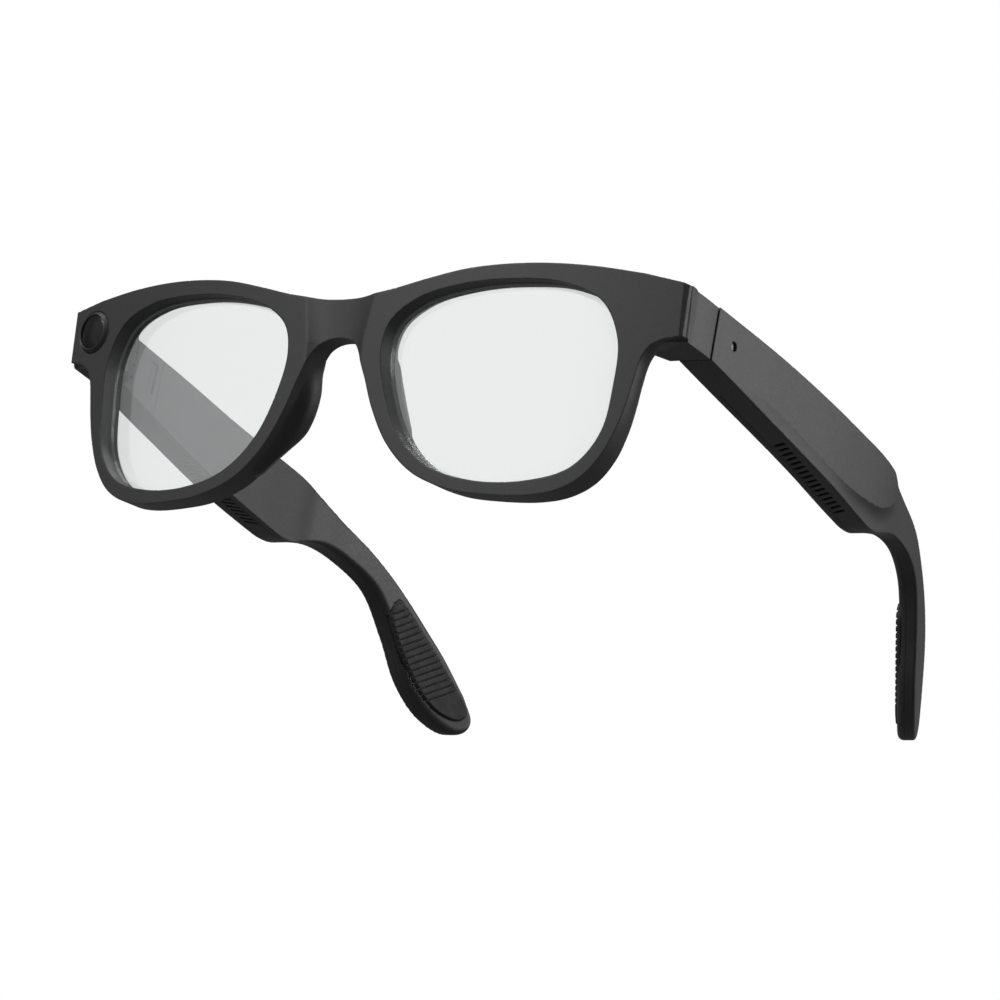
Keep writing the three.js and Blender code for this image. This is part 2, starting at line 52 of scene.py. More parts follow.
# ---- Driving dimensions, in millimetres ------------------------------------------------------------
TILT = math.radians(7.53)      # lean of the front against the arms
FRONT_LIFT = -2.191
MIDDLE = 76.05                 # from the front's datum back to the frame's origin
WRAP = 0.001875                # the front curves back by WRAP * x * x
RIM_DEPTH = 6.2
LENS_THICKNESS = 1.8
LENS_SETBACK = 2.5
SPLIT_Y = 16.6                 # back of the end piece
ARM_START = 16.9
COVER_START = 30.7
WALL = 1.4
HINGE_X, HINGE_Y, HINGE_RELIEF = 68.2, 16.75, 2.45
HINGE_LOW, HINGE_HIGH = 34.7, 43.3
LEAF_INNER, LEAF_OUTER, LEAF_BACK = 69.0, 70.6, 28.9
CAMERA_X, CAMERA_Z, BEZEL_RADIUS, WINDOW_RADIUS = -67.5, 40.7, 4.55, 3.65
SLOT_COUNT, SLOT_FIRST, SLOT_PITCH, SLOT_LENGTH, SLOT_WIDTH = 16, 51.0, 1.95, 3.4, 0.85
SLOT_X, SLOT_SLANT = 74.2, 0.4
PORT_Y, PORT_Z, PORT_RADIUS = 23.7, 39.0, 1.0
BUTTON_X, BUTTON_Y, BUTTON_LENGTH, BUTTON_WIDTH, BUTTON_PROUD = 73.4, 39.0, 9.0, 2.8, 0.45

# Half outlines of the front, seen from in front: x outwards, z up.
OPENING = [
    (11.3, 32.0), (12.7, 24.3), (17.0, 14.7), (24.3, 7.9), (34.5, 4.8), (46.0, 4.9),
    (55.0, 7.8), (60.2, 14.6), (61.9, 24.5), (61.8, 34.0), (58.0, 41.5), (50.0, 45.2),
    (39.5, 46.0), (28.5, 45.1), (18.5, 42.3), (12.8, 37.8),
]
LOWER_EDGE = [
    (0, 34.9), (4.3, 33.5), (7.7, 27.1), (10.7, 19.6), (15.1, 12.1), (21.5, 6.2), (30, 2.9), (38.5, 1.9),
    (47, 1.95), (52.5, 3.1), (57.2, 5.8), (60.9, 10.4), (63.5, 16.2), (65, 21.5), (65.9, 26), (66.8, 30),
    (68.3, 32.7), (70.8, 34.2),
]
END_CORNERS = [(74.3, 34.9), (74.6, 45.6)]
BROW = [
    (66, 47.4), (56, 48.7), (46, 49.3), (37, 49.1), (28.5, 48.2), (20, 46.3), (12, 44.3), (5, 43.2), (0, 43),
]
NOSE_PAD = [
    (6.6, 34.2), (7.7, 29.8), (7.6, 25), (8.7, 19.9), (11.4, 14.9), (14.8, 10.9), (18.3, 8.2),
    (19.4, 9.2), (17, 13), (14.7, 18.6), (12.2, 26), (10.4, 31.6), (8.4, 34.8),
]
# The arm seen from the side: y back, z up.
ARM_TOP = [
    (16.9, 44.6), (45, 43.8), (73, 42.2), (94, 40.8), (106, 38.1), (120, 34.2), (134, 27.1), (146, 18.5),
    (154.5, 10),
]
ARM_TIP = [(157.6, 4.8), (156.7, 1.8), (153.2, 0.1)]
ARM_NECK = [
    (146, 1.8), (138.6, 7.5), (132, 16.7), (124, 25.4), (113.5, 29), (104, 29.3), (97.5, 27.6), (92.5, 25.7),
    (88, 25.2), (84, 25.45),
]
ARM_BOTTOM = [(75, 26.3), (60, 27.9), (45, 29.7), (30, 31.55), (16.9, 33.35)]
GRIP = [
    (131.1, 25.7), (129.4, 21.6), (132.6, 16.3), (137.2, 10.9), (142.9, 5.8), (148.1, 3.4), (153.1, 3.5),
    (155.1, 5.8), (153.5, 8.5), (148.1, 13.4), (141.2, 19.3), (134, 24.5),
]
# Raised panel on the arm's outer face.
PANEL = [
    (46.7, 32.4), (64.2, 30.2), (74.7, 29.3), (83.6, 29.6), (91, 30.7), (96.2, 33.2), (98.6, 35.6),
    (98.3, 38.4), (94.7, 41.1),
]
# The arm seen from above: (y, x) of its faces and of the seam between shell and cover.
OUTER_FACE = [(10, 74.8), (45, 77.4), (75, 78.5), (97, 77.6), (120, 72.9), (140, 67.2), (160, 59.4)]
INNER_FACE = [
    (10, 67.62), (45, 70), (62, 70.8), (78, 70.7), (95, 70.5), (112, 69.5), (120, 68), (140, 62.6),
    (160, 54.8),
]
SHELL_SPLIT = [
    (10, 69.1), (45, 71.6), (62, 72.4), (78, 72.3), (95, 72.1), (112, 71.6), (120, 70.1), (140, 64.7),
    (160, 56.9),
]


# ---- Curves ----------------------------------------------------------------------------------------
def smooth(points, closed=False, spacing=0.2):
    """A centripetal Catmull-Rom curve through the points, as evenly spaced samples."""
    p = np.array(points, float)
    if closed:
        p = np.vstack([p[-1], p, p[0], p[1]])
    else:
        p = np.vstack([2 * p[0] - p[1], p, 2 * p[-1] - p[-2]])
    pieces = []
    for a, b, c, d in zip(p, p[1:], p[2:], p[3:]):
        dt = [np.hypot(*(v - u)) ** 0.5 for u, v in ((a, b), (b, c), (c, d))]
        start = ((b - a) / dt[0] - (c - a) / (dt[0] + dt[1]) + (c - b) / dt[1]) * dt[1]
        end = ((c - b) / dt[1] - (d - b) / (dt[1] + dt[2]) + (d - c) / dt[2]) * dt[1]
        t = np.linspace(0, 1, max(4, int(np.hypot(*(c - b)) / 0.05)), endpoint=False)[:, None]
        pieces.append(
            (2 * t**3 - 3 * t**2 + 1) * b + (t**3 - 2 * t**2 + t) * start
            + (3 * t**2 - 2 * t**3) * c + (t**3 - t**2) * end
        )
    dense = np.vstack(pieces + ([pieces[0][:1]] if closed else [p[-2:-1]]))
    along = np.concatenate([[0], np.cumsum(np.hypot(*np.diff(dense, axis=0).T))])
    even = np.linspace(0, along[-1], int(along[-1] / spacing) + 1)
    if closed:
        even = even[:-1]
    return np.column_stack([np.interp(even, along, dense[:, 0]), np.interp(even, along, dense[:, 1])])


def line_of(points, shift=0.0):
    """The second coordinate of a smooth curve as a function of the first."""
    samples = smooth(points, spacing=0.1)
    return lambda u: np.interp(u, samples[:, 0], samples[:, 1]) + shift


class Outline:
    """Signed distance to a closed outline, negative inside, looked up from a fine grid by cubics."""

    def __init__(self, points, margin=6.0, step=0.25):
        loop = np.asarray(points, float)
        self.low = loop.min(0) - margin
        self.step = step
        count = ((loop.max(0) + margin - self.low) / step).astype(int) + 2
        us = self.low[0] + step * np.arange(count[0])
        vs = self.low[1] + step * np.arange(count[1])
        a = loop
        along = np.roll(loop, -1, 0) - a
        squared = (along**2).sum(1)
        self.values = np.empty((len(us), len(vs)))
        for j, v in enumerate(vs):
            du = us[:, None] - a[None, :, 0]
            dv = v - a[None, :, 1]
            t = np.clip((du * along[:, 0] + dv * along[:, 1]) / squared, 0, 1)
            near = ((du - t * along[:, 0]) ** 2 + (dv - t * along[:, 1]) ** 2).min(1)
            rises = (a[:, 1] > v) != (a[:, 1] + along[:, 1] > v)
            crossings = a[rises, 0] + (v - a[rises, 1]) / along[rises, 1] * along[rises, 0]
            inside = np.searchsorted(np.sort(crossings), us) % 2 == 1
            self.values[:, j] = np.where(inside, -1, 1) * np.sqrt(near)

    def __call__(self, u, v):
        index, weights = [], []
        for w, low, size in ((u, self.low[0], self.values.shape[0]), (v, self.low[1], self.values.shape[1])):
            at = np.clip((w - low) / self.step, 1.0, size - 2.001)
            whole = np.floor(at).astype(int)
            t = at - whole
            index.append(whole)
            weights.append((
                ((2 - t) * t - 1) * t / 2, (3 * t - 5) * t * t / 2 + 1,
                ((4 - 3 * t) * t + 1) * t / 2, (t - 1) * t * t / 2,
            ))
        total = 0.0
        for i, wi in enumerate(weights[0]):
            for j, wj in enumerate(weights[1]):
                total = total + wi * wj * self.values[index[0] + i - 1, index[1] + j - 1]
        return total


# ---- Fields: joining, cutting and rounding ------------------------------------------------------------
def both(a, b, radius):
    """Where a and b are both solid, with the edge between them rounded to the radius."""
    u = np.maximum(a + radius, 0)
    v = np.maximum(b + radius, 0)
    return np.hypot(u, v) + np.minimum(np.maximum(a, b) + radius, 0) - radius


def either(a, b, radius):
    """Where a or b is solid, with the corner between them filled to the radius."""
    return -both(-a, -b, radius)


def step_up(value, low, high):
    t = np.clip((value - low) / (high - low), 0, 1)
    return t * t * (3 - 2 * t)


# ---- Sculpting: dual contouring of a field on a grid ---------------------------------------------------
def gradient(field, p, h=0.01):
    """The field's slope at each point, from four samples around it."""
    corners = np.array([(1, 1, 1), (1, -1, -1), (-1, 1, -1), (-1, -1, 1)], float)
    return sum(c * field(*(p + h * c).T)[:, None] for c in corners) / (4 * h)


def unit(v):
    return v / np.maximum(np.linalg.norm(v, axis=1, keepdims=True), 1e-12)


def crossings(field, grid, values, axis):
    """The grid edges along one axis that the surface crosses, and where it crosses them."""
    here = np.moveaxis(values, axis, 0)
    index = np.argwhere((here[:-1] < 0) != (here[1:] < 0))
    index = np.insert(index[:, 1:], axis, index[:, 0], axis=1)
    after = index.copy()
    after[:, axis] += 1
    low = np.column_stack([grid[a][index[:, a]] for a in range(3)])
    high = np.column_stack([grid[a][after[:, a]] for a in range(3)])
    f_low = values[tuple(index.T)]
    f_high = values[tuple(after.T)]
    outward = f_low < 0
    for _ in range(4):
        middle = low + (high - low) * np.clip(f_low / (f_low - f_high), 0.05, 0.95)[:, None]
        f_middle = field(*middle.T)
        same = (f_middle < 0) == (f_low < 0)
        low = np.where(same[:, None], middle, low)
        high = np.where(same[:, None], high, middle)
        f_low = np.where(same, f_middle, f_low)
        f_high = np.where(same, f_high, f_middle)
    point = low + (high - low) * (f_low / (f_low - f_high))[:, None]
    return index, point, outward


def sculpt(field, xs, ys, zs):
    """Vertices and outward quads of the field's surface. A cell's vertex is the point that fits the
    planes where the surface crosses the cell's edges, so creases stay crisp."""
    grid = [np.asarray(g, float) for g in (xs, ys, zs)]
    shape = tuple(len(g) for g in grid)
    everywhere = field(grid[0][:, None, None], grid[1][None, :, None], grid[2][None, None, :])
    values = np.broadcast_to(everywhere, shape)
    cells_of, points, quads_of = [], [], []
    for axis in range(3):
        index, point, outward = crossings(field, grid, values, axis)
        a, b = (axis + 1) % 3, (axis + 2) % 3
        ring = []
        for da, db in ((-1, -1), (0, -1), (0, 0), (-1, 0)):
            cell = index.copy()
            cell[:, a] += da
            cell[:, b] += db
            ring.append(np.ravel_multi_index(cell.T, shape))
        ring = np.column_stack(ring)
        quads_of.append(np.where(outward[:, None], ring, ring[:, ::-1]))
        cells_of.append(ring)
        points.append(point)
    points = np.vstack(points)
    normals = unit(gradient(field, points))
    cells, where = np.unique(np.vstack(cells_of), return_inverse=True)
    where = where.reshape(-1, 4)

    def gather(quantity):
        return np.column_stack([
            sum(np.bincount(where[:, k], quantity[:, c], len(cells)) for k in range(4))
            for c in range(quantity.shape[1])
        ])

    count = gather(np.ones((len(points), 1)))
    centre = gather(points) / count
    outer = (normals[:, :, None] * normals[:, None, :]).reshape(-1, 9)
    planes = gather(outer).reshape(-1, 3, 3)
    pull = gather(normals * (normals * points).sum(1, keepdims=True))
    pull -= np.einsum("nij,nj->ni", planes, centre)
    size, turn = np.linalg.eigh(planes)
    kept = size > 0.08 * size[:, 2:3]
    inverse = np.where(kept, 1 / np.where(kept, size, 1), 0)
    move = np.einsum("nij,nj->ni", turn, inverse * np.einsum("nji,nj->ni", turn, pull))
    place = np.column_stack(np.unravel_index(cells, shape))
    low = np.column_stack([grid[a][place[:, a]] for a in range(3)])
    high = np.column_stack([grid[a][place[:, a] + 1] for a in range(3)])
    vertex = np.clip(centre + move, low, high)
    smooth_cell = kept.sum(1) == 1
    for _ in range(2):
        p = vertex[smooth_cell]
        slope = gradient(field, p)
        fall = field(*p.T)[:, None] * slope / np.maximum((slope**2).sum(1, keepdims=True), 0.2)
        vertex[smooth_cell] = p - np.clip(fall, -0.1, 0.1)
    quads = np.searchsorted(cells, np.vstack(quads_of))
    return vertex, quads


def corner_normals(field, vertex, quads):
    """Each corner's normal, taken a little inside its face, so that both sides of a crease are right."""
    middle = vertex[quads].mean(1, keepdims=True)
    inset = (vertex[quads] * 0.8 + middle * 0.2).reshape(-1, 3)
    return unit(gradient(field, inset))


def steps(*stretches):
    """Grid lines: each stretch is (from, to, spacing)."""
    lines = [np.linspace(a, b, max(2, int(round((b - a) / d)) + 1)) for a, b, d in stretches]
    return np.unique(np.round(np.concatenate(lines), 5))


UPRIGHT = Matrix.Scale(MM, 4) @ Matrix.Translation((0, -MIDDLE, 0))
LEANING = UPRIGHT @ Matrix.Translation((0, 0, FRONT_LIFT)) @ Matrix.Rotation(TILT, 4, "X")


def mesh_object(name, vertex, faces, place, normals=None, mirror=False):
    """A mesh object in metres from millimetre vertices, mirrored to the other side if asked."""
    vertex = np.array(vertex, float)
    faces = [list(f) for f in faces]
    if mirror:
        vertex[:, 0] *= -1
        faces = [f[::-1] for f in faces]
    turn = np.array(place.to_3x3()) / MM
    placed = vertex @ np.array(place.to_3x3()).T + np.array(place.translation)
    mesh = bpy.data.meshes.new(name)
    mesh.from_pydata(placed.tolist(), [], faces)
    mesh.polygons.foreach_set("use_smooth", [True] * len(mesh.polygons))
    if normals is not None:
        n = np.array(normals, float).reshape(len(faces), -1, 3)
        if mirror:
            n = n[:, ::-1] * (-1, 1, 1)
        mesh.normals_split_custom_set((n.reshape(-1, 3) @ turn.T).tolist())
    mesh.update()
    piece = bpy.data.objects.new(name, mesh)
    bpy.context.scene.collection.objects.link(piece)
    return piece


def sculpted(name, field, grid, place, mirror=False):
    vertex, quads = sculpt(field, *grid)
    return mesh_object(name, vertex, quads.tolist(), place, corner_normals(field, vertex, quads), mirror)


def finished(piece, body, nodes, material):
    """Gives a piece its material and ties it to the frame."""
    piece.data.materials.clear()
    piece.data.materials.append(material)
    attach(piece, body)
    if nodes:
        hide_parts(*nodes)
    return piece


# ---- Front ----------------------------------------------------------------------------------------
def mirrored_half(half):
    """A closed outline from its half at x >= 0, which starts and ends on x = 0."""
    return np.vstack([half, half[-2:0:-1] * (-1, 1)])


lower_edge = smooth([(-7.7, 27.1), (-4.3, 33.5), *LOWER_EDGE])
lower_edge = lower_edge[np.argmin(np.abs(lower_edge[:, 0])):]
lower_edge[0, 0] = 0.0
outer_edge = Outline(mirrored_half(np.vstack([lower_edge, END_CORNERS, smooth(BROW)])))
opening_curve = smooth(OPENING, closed=True)
opening = Outline(opening_curve)
pad_outline = Outline(smooth(NOSE_PAD, closed=True))
WRAP_SLOPE = math.atan(2 * WRAP * -CAMERA_X)

# The end piece: a block behind each outer corner of the rim, upright like the arm.
END_OUTER, END_FLARE = 74.5, 0.6
END_INNER, END_INNER_SHIFT, END_INNER_FROM, END_INNER_RUN = 62.9, 3.2, 11.2, 5.4
END_LOW, END_HIGH, END_FRONT = 33.3, 44.4, 2.0
CORNER_BEVEL = 0.7
LEAF_POCKET_FRONT = 10.7
WELL_GAP, WELL_DEPTH = 0.08, 2.3
# The bridge: a shallow hollow in its front, wider towards the brow.
SADDLE_DEPTH, SADDLE_HALF, SADDLE_WIDENING, SADDLE_POWER, SADDLE_SOFTNESS = 1.5, 6.7, 0.17, 2.4, 0.012
# The nose pads swell back furthest at mid height.
PAD_FRONT, PAD_BACK, PAD_TOP_FALL, PAD_FOOT_FALL, PAD_ROUND, PAD_GROWTH = 3.0, 10.2, 1.8, 3.6, 3.0, 0.3
RIM_TAPER, TAPER_FROM, TAPER_RUN = 1.3, 1, 5.2
BROW_TOP, BROW_SLOPE, BROW_SIDE = 47.4, 0.209, 66
END_FILLET, PAD_FILLET = 0.8, 1.5
FRONT_CELL = 0.42


def against_arm(y, z):
    """Depth and height of a place on the front, in the upright frame of the arms."""
    back = y * math.cos(TILT) - z * math.sin(TILT)
    up = y * math.sin(TILT) + z * math.cos(TILT) + FRONT_LIFT
    return back, up


def end_piece(side, y, z):
    """The block behind each outer corner of the front, standing upright like the arm it meets."""
    back, up = against_arm(y, z)
    inner = END_INNER + END_INNER_SHIFT * np.clip((back - END_INNER_FROM) / END_INNER_RUN, 0, 1)
    outer = END_OUTER + END_FLARE * step_up(back, 4, SPLIT_Y)
    block = np.maximum(np.maximum(side - outer, inner - side), np.maximum(END_LOW - up, up - END_HIGH))
    return np.maximum(block, np.maximum(back - SPLIT_Y, END_FRONT - y + WRAP * side * side))


def hinge_pocket(side, y, z):
    """Room in the end piece for the hinge's barrel and leaf."""
    back, up = against_arm(y, z)
    round_part = np.hypot(side - HINGE_X, back - HINGE_Y) - HINGE_RELIEF
    leaf_part = np.maximum(np.maximum(LEAF_INNER - side, side - LEAF_OUTER), LEAF_POCKET_FRONT - back)
    height = np.maximum(HINGE_LOW - up, up - HINGE_HIGH)
    return np.maximum(np.minimum(round_part, leaf_part), height)


def camera_well(x, y, z):
    """The round seat of the camera, square to the wrapped face."""
    dx = x - CAMERA_X
    dy = y - WRAP * CAMERA_X**2
    across = dx * math.cos(WRAP_SLOPE) - dy * math.sin(WRAP_SLOPE)
    deep = dx * math.sin(WRAP_SLOPE) + dy * math.cos(WRAP_SLOPE)
    return np.maximum(np.hypot(across, z - CAMERA_Z) - BEZEL_RADIUS - WELL_GAP, deep - WELL_DEPTH)


def nose_pad(side, depth, z):
    """A smooth swelling behind the inner edge of each rim."""
    back = PAD_BACK - PAD_TOP_FALL * step_up(z, 30, 36) - PAD_FOOT_FALL * (1 - step_up(z, 9, 18))
    return both(pad_outline(side, z) - PAD_GROWTH, np.maximum(PAD_FRONT - depth, depth - back), PAD_ROUND)


def front_field(x, y, z):
    """The whole front: rims and bridge, end pieces and nose pads, less the openings and pockets."""
    side = np.abs(x)
    depth = y - WRAP * x * x
    up = against_arm(y, z)[1]
    half = SADDLE_HALF + SADDLE_WIDENING * np.clip(z - 34, 0, 12)
    saddle = SADDLE_DEPTH * (1 - (side / half) ** SADDLE_POWER)
    saddle = 0.5 * (saddle + np.sqrt(saddle**2 + SADDLE_SOFTNESS))
    slab = np.maximum(saddle - depth, depth - RIM_DEPTH)
    outwards = step_up(side, 48, 66) * step_up(z, 3, 28)
    taper = RIM_TAPER * outwards * np.clip((depth - TAPER_FROM) / TAPER_RUN, 0, 1) ** 2
    rim = np.maximum(outer_edge(side, z) + taper, slab)
    rim = np.maximum(rim, (side - END_OUTER - depth + CORNER_BEVEL) / math.sqrt(2))
    brow = BROW_TOP - BROW_SLOPE * (side - BROW_SIDE)
    face_top = WRAP * side**2 * math.sin(TILT) + brow * math.cos(TILT) + FRONT_LIFT
    rim = np.maximum(rim, up - face_top - 4 * (1 - step_up(side, 63, 67)))
    solid = either(rim, end_piece(side, y, z), END_FILLET)
    solid = either(solid, nose_pad(side, depth, z), PAD_FILLET)
    solid = np.maximum(solid, -opening(side, z))
    return np.maximum(solid, -np.minimum(hinge_pocket(side, y, z), camera_well(x, y, z)))


def front_piece():
    grid = tuple(steps((low, high, FRONT_CELL)) for low, high in ((-77, 77), (-2.2, 24), (0.5, 50.5)))
    return sculpted("frame_front", front_field, grid, LEANING)


def offset_loop(loop, distance):
    """Moves a closed loop outwards along its normals, whichever way round it runs."""
    tangent = np.roll(loop, -1, 0) - np.roll(loop, 1, 0)
    tangent /= np.linalg.norm(tangent, axis=1, keepdims=True)
    following = np.roll(loop, -1, 0)
    turn = 1 if np.sum(loop[:, 0] * following[:, 1] - following[:, 0] * loop[:, 1]) > 0 else -1
    return loop + turn * distance * np.column_stack([tangent[:, 1], -tangent[:, 0]])


LENS_INSET, LENS_REACH = 0.5, 0.03       # the bevels' inner loop, and their crest in the groove
FACE_RINGS = (0.06, 0.2, 0.4, 0.6, 0.8, 0.93)
FRONT_BEVEL_RING, BACK_BEVEL_RINGS = 6, (7, 8)


def lens_piece(name, sign):
    """A clear lens that follows the wrap, with a ground bevel where it meets the rim, its front band painted
    pale as a highlight and its back bands painted dark as the groove's shade.
    """
    loop = smooth(OPENING, closed=True, spacing=0.6)
    centre = loop.mean(0)
    face = offset_loop(loop, -LENS_INSET)
    wall = offset_loop(loop, LENS_REACH)
    back_depth = LENS_SETBACK + LENS_THICKNESS
    rings = [(centre + (face - centre) * s, LENS_SETBACK) for s in FACE_RINGS]
    rings += [(face, LENS_SETBACK + 0.12), (wall, LENS_SETBACK + 0.26)]
    rings += [(wall, back_depth - 0.5), (face, back_depth)]
    rings += [(centre + (face - centre) * s, back_depth) for s in FACE_RINGS[::-1]]
    count = len(loop)
    vertices = [(centre[0], WRAP * centre[0] ** 2 + LENS_SETBACK, centre[1])]
    for ring, depth in rings:
        vertices += [(u, WRAP * u * u + depth, v) for u, v in ring]
    vertices.append((centre[0], WRAP * centre[0] ** 2 + back_depth, centre[1]))
    last = len(vertices) - 1
    faces = [(0, 1 + (i + 1) % count, 1 + i) for i in range(count)]
    for r in range(len(rings) - 1):
        a, b = 1 + r * count, 1 + (r + 1) * count
        faces += [(a + i, a + (i + 1) % count, b + (i + 1) % count, b + i) for i in range(count)]
    faces += [(last, last - count + i, last - count + (i + 1) % count) for i in range(count)]
    piece = mesh_object(name, vertices, faces, LEANING, mirror=sign < 0)
    # Material slot 1 on the front bevel ring is a painted highlight; slot 2 on the back rings is painted
    # shade of the groove.
    for polygon in piece.data.polygons:
        ring = (polygon.index - count) // count
        if ring == FRONT_BEVEL_RING:
            polygon.material_index = 1
        elif ring in BACK_BEVEL_RINGS:
            polygon.material_index = 2
    piece.data.set_sharp_from_angle(angle=math.radians(20))
    return piece


# ---- Turned pieces ----------------------------------------------------------------------------------
def turned(name, profile, place, sides=96):
    """A piece turned about its own Y axis. The profile is (radius, y) from one end round to the other."""
    vertices, faces = [], []
    for radius, y in profile:
        for i in range(sides):
            angle = 2 * math.pi * i / sides
            vertices.append((radius * math.cos(angle), y, radius * math.sin(angle)))
    closed = profile[0] == profile[-1]
    for r in range(len(profile) - 1):
        a = r * sides
        b = (0 if closed and r == len(profile) - 2 else r + 1) * sides
        faces += [(a + i, b + i, b + (i + 1) % sides, a + (i + 1) % sides) for i in range(sides)]
    if closed:
        vertices = vertices[: (len(profile) - 1) * sides]
    piece = mesh_object(name, vertices, faces, place)
    piece.data.validate()
    piece.data.set_sharp_from_angle(angle=math.radians(40))
    return piece


def rounded_corner(centre, radius, start, end, count=5):
    """Points of an arc, angles in degrees."""
    angles = [math.radians(start + (end - start) * i / count) for i in range(count + 1)]
    return [(centre[0] + radius * math.cos(a), centre[1] + radius * math.sin(a)) for a in angles]


# ---- Arms -------------------------------------------------------------------------------------------
outer_face = line_of(OUTER_FACE)
inner_face = line_of(INNER_FACE)
split_face = line_of(SHELL_SPLIT)
top_line = line_of(ARM_TOP)
bottom_line = line_of([*ARM_BOTTOM[::-1], (84, 25.45), (92, 25.3)])
side_view = Outline(np.vstack([
    (8.0, 44.85), smooth(ARM_TOP), smooth([ARM_TOP[-1], *ARM_TIP, *ARM_NECK, *ARM_BOTTOM])[1:], (8.0, 34.55),
]))
panel = Outline(np.vstack([(0, 54), (0, 36), smooth(PANEL), (88, 54)]))
grip_outline = Outline(smooth(GRIP, closed=True))
GRIP_FROM = (130.6, 24.1)
RIB_STEP = (math.cos(math.radians(55)), -math.sin(math.radians(55)))     # from one rib to the next
RIB_COUNT, RIB_FIRST, RIB_PITCH = 15, 0.7, 1.54
RIB_GROOVE_HALF, RIB_ROUND, RIB_TOP_ROUND, RIB_INSET = 0.16, 0.3, 0.22, 0.2
GRIP_PROUD, GRIP_BASE_PROUD, GRIP_GAP = 0.6, 0.05, 0.12
SEAM_HALF = 0.07
PANEL_FALL, PANEL_SLOPE = 0.35, 3.6      # drop beside the panel, in front, and the width of its slope
HOLLOW_FROM, HOLLOW_TO = 30.0, 92.0
DIP_Y, DIP_LENGTH, DIP_DEPTH = 99, 4.5, 0.4          # a slight dip in the inner face, ahead of the tail
TAIL_OUTER_ROUND, TAIL_TOP_ROUND, TAIL_LOW_ROUND = 0.8, 0.8, 0.9
SLOT_DEPTH, PORT_INNER = 3.0, 73.0
LEAF_MIDDLE, LEAF_HALF_HEIGHT = 39.0, 3.5
BUTTON_GAP, BUTTON_HOLE_LOW = 0.15, 40.0


def skin(y, z):
    """How far the outer face falls away outside its raised panel: a crease, then a soft slope."""
    deepest = PANEL_FALL + (1 - PANEL_FALL) * step_up(y, 60, 92)
    fall = deepest * step_up(y, 25, 45) * (1 - step_up(y, 102, 120))
    t = np.clip(panel(y, z) / PANEL_SLOPE, 0, 1)
    return fall * t * (2 - t)


def arm_body(x, y, z):
    """The whole arm without its seams: crisp in front, rounded along the tail."""
    profile = side_view(y, z)
    upper = step_up(z - 0.5 * (bottom_line(y) + top_line(y)), -3, 3)
    dip = DIP_DEPTH * np.exp(-(((y - DIP_Y) / DIP_LENGTH) ** 2))
    inner = inner_face(y) + dip - x
    across = np.maximum(x - outer_face(y) + skin(y, z), inner)
    tail = step_up(y, 92, 112)
    body = both(profile, across, TAIL_OUTER_ROUND * step_up(y, 108, 128))
    rounding = (TAIL_TOP_ROUND + TAIL_LOW_ROUND * (1 - upper)) * tail
    body = np.maximum(body, both(profile, inner, rounding))
    return np.maximum(body, ARM_START - y)


def cover_space(x, y, gap):
    """The cover's side of the seam, less the gap. The seam closes up behind the body of the arm."""
    closing = gap * (1 - 0.95 * step_up(y, 88, 97))
    return np.maximum(x - split_face(y) + closing, COVER_START + 1.3 * gap - y)


def slots(x, y, z):
    """The slanted sound slots in the underside."""
    number = np.clip(np.round((y - SLOT_FIRST) / SLOT_PITCH), 0, SLOT_COUNT - 1)
    du = x - SLOT_X
    dv = y - SLOT_FIRST - number * SLOT_PITCH
    along = du * math.cos(SLOT_SLANT) - dv * math.sin(SLOT_SLANT)
    across = du * math.sin(SLOT_SLANT) + dv * math.cos(SLOT_SLANT)
    half = SLOT_WIDTH / 2
    pill = np.hypot(np.maximum(np.abs(along) - SLOT_LENGTH / 2 + half, 0), across) - half
    return np.maximum(pill, z - bottom_line(y) - SLOT_DEPTH)


def hinge_relief(x, y, z):
    """Room in the arm for the hinge's barrel and leaf."""
    height = np.maximum(HINGE_LOW - z, z - HINGE_HIGH)
    barrel = np.hypot(x - HINGE_X, y - HINGE_Y) - HINGE_RELIEF
    leaf = np.maximum(np.maximum(LEAF_INNER - x, x - LEAF_OUTER), y - LEAF_BACK)
    leaf = np.maximum(leaf, np.abs(z - LEAF_MIDDLE) - LEAF_HALF_HEIGHT)
    return np.minimum(np.maximum(barrel, height), leaf)


def button_pill(x, y):
    along = np.maximum(np.abs(y - BUTTON_Y) - (BUTTON_LENGTH - BUTTON_WIDTH) / 2, 0)
    return np.hypot(along, x - BUTTON_X) - BUTTON_WIDTH / 2


def shell_field(side):
    """The outer face, top and underside; the left one has a port, the right one a button hole."""
    def field(x, y, z):
        body = arm_body(x, y, z)
        hollow = np.maximum(body + WALL, np.maximum(HOLLOW_FROM - y, y - HOLLOW_TO))
        shell = np.maximum(np.maximum(body, -hollow), -cover_space(x, y, -SEAM_HALF))
        holes = np.minimum(hinge_relief(x, y, z), slots(x, y, z))
        if side == "left":
            port = np.maximum(np.hypot(y - PORT_Y, z - PORT_Z) - PORT_RADIUS, PORT_INNER - x)
            holes = np.minimum(holes, port)
        else:
            button = button_pill(x, y) - BUTTON_GAP
            holes = np.minimum(holes, np.maximum(button, BUTTON_HOLE_LOW - z))
        return np.maximum(shell, -holes)
    return field


def cover_field(x, y, z):
    """The inner face, with a recess for the grip."""
    recess = np.maximum(grip_outline(y, z) - GRIP_GAP, x - inner_face(y) - GRIP_PROUD - 0.2)
    return np.maximum(np.maximum(arm_body(x, y, z), cover_space(x, y, SEAM_HALF)), -recess)


